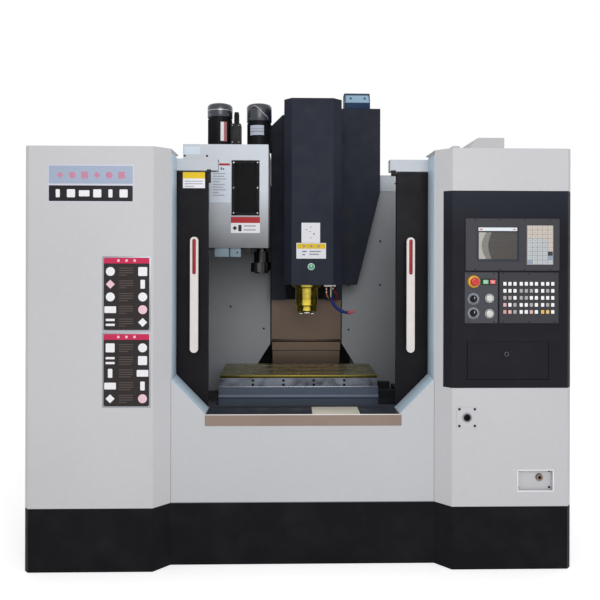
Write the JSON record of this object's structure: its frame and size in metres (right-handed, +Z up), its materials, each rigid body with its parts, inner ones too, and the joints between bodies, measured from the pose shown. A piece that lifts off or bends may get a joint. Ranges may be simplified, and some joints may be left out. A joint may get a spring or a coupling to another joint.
{
  "type": "cnc machining center",
  "caption": "Vertical machining centre with sliding front doors, moving table and head, side tool changer and operator panel, all axes and controls jointed.",
  "frame": {"origin": "middle of the bounding box's footprint, on the floor", "axes": "+X to the operator's right, +Y from the operator to the back, +Z up"},
  "size_m": [2.6, 2.376, 2.547],
  "materials": {
    "cabinet_paint": "satin",
    "apron_paint": "satin",
    "plinth_black": "satin",
    "door_black": "satin",
    "panel_black": "satin",
    "splash_grey": "satin",
    "head_grey": "satin",
    "changer_grey": "satin",
    "steel_sheet": "brushed",
    "stainless": "polished",
    "ground_steel": "ground",
    "machined_iron": "machined",
    "cast_paint": "painted",
    "guard_blue": "satin",
    "window_clear": "clear",
    "window_smoked": "smoked",
    "screen_glass": "gloss",
    "key_plastic": "matte",
    "unit_grey": "fine texture",
    "plate_grey": "anodised",
    "button_red": "gloss",
    "button_green": "gloss",
    "button_black": "matte",
    "motor_black": "gloss",
    "handle_cream": "satin",
    "pot_plastic": "matte",
    "hose_blue": "satin",
    "cooler_blue": "satin"
  },
  "bodies": {
    "base": {"bed_casting": "cast_paint", "levelling_feet": "machined_iron", "column_casting": "cast_paint", "plinth_skirts": "plinth_black", "left_cabinet": "cabinet_paint", "right_cabinet": "cabinet_paint", "front_apron": "apron_paint", "sill_strip": "stainless", "splash_wall_left": "splash_grey", "splash_wall_right": "splash_grey", "door_rails": "ground_steel", "electrical_cabinet": "cabinet_paint", "control_housing": "panel_black", "cnc_unit": "unit_grey", "display_glass": "screen_glass", "operator_plate": "plate_grey", "key_membrane": "plate_grey", "way_cover_fixed": "steel_sheet", "base_rails": "ground_steel", "base_motors": "motor_black", "magazine_housing": "changer_grey", "magazine_window": "window_smoked", "cam_box": "cast_paint", "atc_motors": "motor_black"},
    "saddle": {"saddle_casting": "cast_paint", "x_motor": "motor_black"},
    "table": {"table": "machined_iron", "table_guard": "guard_blue"},
    "head": {"head_casting": "cast_paint", "head_cover": "head_grey", "head_back_cover": "head_grey", "cooler_box": "cooler_blue", "spindle_cartridge": "machined_iron", "spindle_motor": "motor_black", "coolant_nozzles": "hose_blue", "way_cover_upper": "steel_sheet"},
    "way_middle": {"way_cover_middle": "steel_sheet"},
    "spindle": {"spindle_shaft": "ground_steel"},
    "x_screw": {"x_ballscrew": "ground_steel"},
    "y_screw": {"y_ballscrew": "ground_steel"},
    "z_screw": {"z_ballscrew": "ground_steel"},
    "left_door": {"door_left": "door_black", "door_window_left": "window_clear", "door_handle_left": "handle_cream"},
    "right_door": {"door_right": "door_black", "door_window_right": "window_clear", "door_handle_right": "handle_cream"},
    "magazine": {"magazine_disc": "pot_plastic"},
    "arm_plunger": {"arm_shaft": "ground_steel"},
    "arm": {"tool_arm": "ground_steel"},
    "estop": {"estop_button": "button_red"},
    "power_on": {"power_on_button": "button_green"},
    "power_off": {"power_off_button": "button_red"},
    "feed_dial": {"feed_knob": "button_black"},
    "speed_dial": {"speed_knob": "button_black"},
    "cycle_start": {"cycle_start_button": "button_green"},
    "feed_hold": {"feed_hold_button": "button_red"},
    "flap": {"panel_flap": "panel_black"},
    "cabinet_door": {"electrical_door": "cabinet_paint"},
    "latch": {"door_latch": "button_black"}
  },
  "joints": [
    {"name": "y_axis", "type": "slide", "parent": "base", "child": "saddle", "axis": [0, 1, 0], "range_m": [-0.21, 0.19]},
    {"name": "x_axis", "type": "slide", "parent": "saddle", "child": "table", "axis": [1, 0, 0], "range_m": [-0.28, 0.37]},
    {"name": "z_axis", "type": "slide", "parent": "base", "child": "head", "axis": [0, 0, 1], "range_m": [-0.19, 0.26]},
    {"name": "way_cover_slide", "type": "slide", "parent": "base", "child": "way_middle", "axis": [0, 0, 1], "range_m": [-0.095, 0.13]},
    {"name": "x_screw_turn", "type": "hinge", "parent": "saddle", "child": "x_screw", "pos_m": [0.056, -0.31, 0.65], "axis": [1, 0, 0], "continuous": true},
    {"name": "y_screw_turn", "type": "hinge", "parent": "base", "child": "y_screw", "pos_m": [0.056, -0.3, 0.45], "axis": [0, 1, 0], "continuous": true},
    {"name": "z_screw_turn", "type": "hinge", "parent": "base", "child": "z_screw", "pos_m": [0.056, 0.15, 1.6], "axis": [0, 0, 1], "continuous": true},
    {"name": "spindle_spin", "type": "hinge", "parent": "head", "child": "spindle", "pos_m": [0.056, -0.32, 1.3], "axis": [0, 0, 1], "continuous": true},
    {"name": "left_door_slide", "type": "slide", "parent": "base", "child": "left_door", "axis": [1, 0, 0], "range_m": [0, 0.479]},
    {"name": "right_door_slide", "type": "slide", "parent": "base", "child": "right_door", "axis": [-1, 0, 0], "range_m": [0, 0.479]},
    {"name": "magazine_turn", "type": "hinge", "parent": "base", "child": "magazine", "pos_m": [-0.36, -0.32, 1.826], "axis": [1, 0, 0], "continuous": true},
    {"name": "arm_plunge", "type": "slide", "parent": "base", "child": "arm_plunger", "axis": [0, 0, 1], "range_m": [-0.115, 0]},
    {"name": "arm_swing", "type": "hinge", "parent": "arm_plunger", "child": "arm", "pos_m": [-0.216, -0.32, 1.43], "axis": [0, 0, 1], "range_deg": [0, 30]},
    {"name": "estop_push", "type": "slide", "parent": "base", "child": "estop", "axis": [0, 1, 0], "range_m": [0, 0.006]},
    {"name": "power_on_push", "type": "slide", "parent": "base", "child": "power_on", "axis": [0, 1, 0], "range_m": [0, 0.004], "stiffness_N_per_m": 500, "springref_m": -0.002},
    {"name": "power_off_push", "type": "slide", "parent": "base", "child": "power_off", "axis": [0, 1, 0], "range_m": [0, 0.004], "stiffness_N_per_m": 500, "springref_m": -0.002},
    {"name": "feed_dial_turn", "type": "hinge", "parent": "base", "child": "feed_dial", "pos_m": [0.825, -1.15, 1.291], "axis": [0, 1, 0], "range_deg": [-135, 135]},
    {"name": "speed_dial_turn", "type": "hinge", "parent": "base", "child": "speed_dial", "pos_m": [0.825, -1.15, 1.223], "axis": [0, 1, 0], "range_deg": [-135, 135]},
    {"name": "cycle_start_push", "type": "slide", "parent": "base", "child": "cycle_start", "axis": [0, 1, 0], "range_m": [0, 0.004], "stiffness_N_per_m": 500, "springref_m": -0.002},
    {"name": "feed_hold_push", "type": "slide", "parent": "base", "child": "feed_hold", "axis": [0, 1, 0], "range_m": [0, 0.004], "stiffness_N_per_m": 500, "springref_m": -0.002},
    {"name": "flap_hinge", "type": "hinge", "parent": "base", "child": "flap", "pos_m": [0.992, -1.143, 0.917], "axis": [1, 0, 0], "range_deg": [0, 90]},
    {"name": "cabinet_door_hinge", "type": "hinge", "parent": "base", "child": "cabinet_door", "pos_m": [-0.444, 1.15, 1.21], "axis": [0, 0, 1], "range_deg": [0, 110]},
    {"name": "latch_turn", "type": "hinge", "parent": "cabinet_door", "child": "latch", "pos_m": [0.496, 1.16, 1.21], "axis": [0, -1, 0], "range_deg": [0, 90]}
  ],
  "couplings": [
    {"joint": "way_cover_slide", "follows": "z_axis", "ratio": 0.5},
    {"joint": "x_screw_turn", "follows": "x_axis", "rad_per_m": 628.3},
    {"joint": "y_screw_turn", "follows": "y_axis", "rad_per_m": 628.3},
    {"joint": "z_screw_turn", "follows": "z_axis", "rad_per_m": 628.3}
  ]
}
